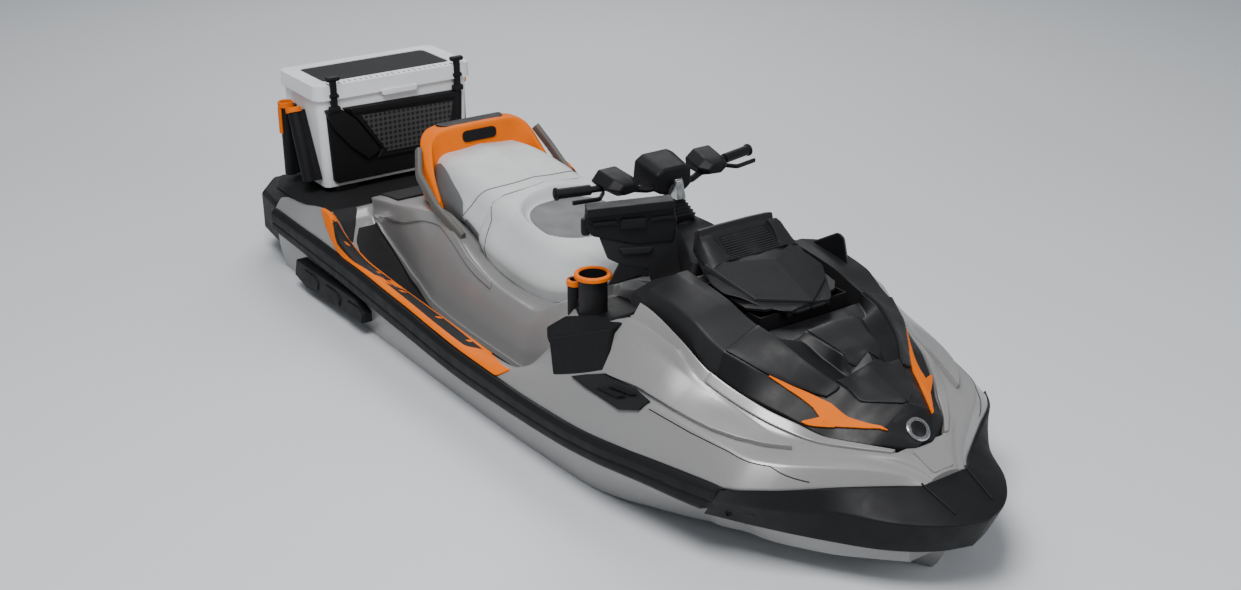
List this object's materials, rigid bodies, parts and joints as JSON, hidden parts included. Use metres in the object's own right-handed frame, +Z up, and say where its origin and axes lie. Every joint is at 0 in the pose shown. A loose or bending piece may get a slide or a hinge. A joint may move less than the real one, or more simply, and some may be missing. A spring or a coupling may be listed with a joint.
{
  "type": "personal watercraft",
  "caption": "Long personal watercraft rigged for fishing, with handlebar steering, straddle seat, jet drive, front storage, fish finder and a rear cooler with rod holders.",
  "frame": {"origin": "centreline amidships at the waterline", "axes": "+X towards the bow, +Y to port, +Z up"},
  "size_m": [3.73, 1.255, 1.1645],
  "materials": {
    "hull_paint": "metallic grey gel coat",
    "deck_paint": "metallic grey gel coat",
    "black_rubber": "matt black rubber",
    "black_plastic": "grained black plastic",
    "charcoal_plastic": "grained charcoal plastic",
    "mat_foam": "embossed foam mat",
    "orange_plastic": "bright orange plastic",
    "seat_vinyl": "light grey marine vinyl",
    "cooler_shell": "light grey rotomoulded plastic",
    "metal": "stainless steel",
    "cast_alloy": "cast alloy"
  },
  "bodies": {
    "craft": {"hull": "hull_paint", "deck": "deck_paint", "foredeck": "deck_paint", "grab_bars": "charcoal_plastic", "rub_rails": "black_rubber", "bow_bumper": "black_rubber", "stern_extension": "black_plastic", "step_hinge": "metal", "rear_mat": "mat_foam", "footwell_mats": "mat_foam", "side_trims": "orange_plastic", "seat_cushion": "seat_vinyl", "seat_handle": "orange_plastic", "engine": "cast_alloy", "hood": "charcoal_plastic", "storage_bin": "black_plastic", "console": "black_plastic", "display": "black_plastic", "display_mount": "charcoal_plastic", "mirror": "black_plastic", "cup_holder": "charcoal_plastic", "rod_clip": "orange_plastic", "knee_panels": "black_plastic", "side_vents": "black_plastic", "sponsons": "black_plastic", "intake_grate": "cast_alloy", "ride_plate": "cast_alloy", "pump_housing": "cast_alloy", "cooler_mount": "black_plastic", "cooler_body": "cooler_shell", "mesh_pocket": "black_plastic", "rod_holders": "black_plastic", "bow_eye": "metal", "stern_eyes": "metal"},
    "steering": {"handlebar": "metal", "grips": "black_rubber", "control_housings": "charcoal_plastic", "hand_levers": "charcoal_plastic", "gauge_pod": "black_plastic"},
    "jet_nozzle": {"nozzle": "cast_alloy"},
    "reverse_gate": {"reverse_bucket": "black_plastic"},
    "impeller_shaft": {"impeller": "metal", "drive_shaft": "metal"},
    "front_lid": {"storage_lid": "charcoal_plastic"},
    "cooler_top": {"cooler_lid": "cooler_shell", "lid_pad": "mat_foam", "cooler_latches": "black_rubber"},
    "swim_step": {"boarding_step": "metal"}
  },
  "joints": [
    {"name": "steering_turn", "type": "hinge", "parent": "craft", "child": "steering", "pos_m": [0.455, 0, 0.745], "axis": [-0.4226, 0, 0.9063], "range_deg": [-20, 20]},
    {"name": "nozzle_swivel", "type": "hinge", "parent": "craft", "child": "jet_nozzle", "pos_m": [-1.59, 0, -0.12], "axis": [0, 0, 1], "range_deg": [-20, 20]},
    {"name": "reverse_gate_swing", "type": "hinge", "parent": "craft", "child": "reverse_gate", "pos_m": [-1.59, 0, -0.12], "axis": [0, -1, 0], "range_deg": [0, 68]},
    {"name": "impeller_spin", "type": "hinge", "parent": "craft", "child": "impeller_shaft", "pos_m": [-1.26, 0, -0.12], "axis": [1, 0, 0], "continuous": true},
    {"name": "front_lid_open", "type": "hinge", "parent": "craft", "child": "front_lid", "pos_m": [1.118, 0, 0.606], "axis": [0, 1, 0], "range_deg": [0, 65]},
    {"name": "cooler_lid_open", "type": "hinge", "parent": "craft", "child": "cooler_top", "pos_m": [-1.851, 0, 0.664], "axis": [0, -1, 0], "range_deg": [0, 95]},
    {"name": "boarding_step_fold", "type": "hinge", "parent": "craft", "child": "swim_step", "pos_m": [-1.849, 0, 0.15], "axis": [0, -1, 0], "range_deg": [0, 165]}
  ],
  "couplings": [
    {"joint": "nozzle_swivel", "follows": "steering_turn", "ratio": -1}
  ]
}
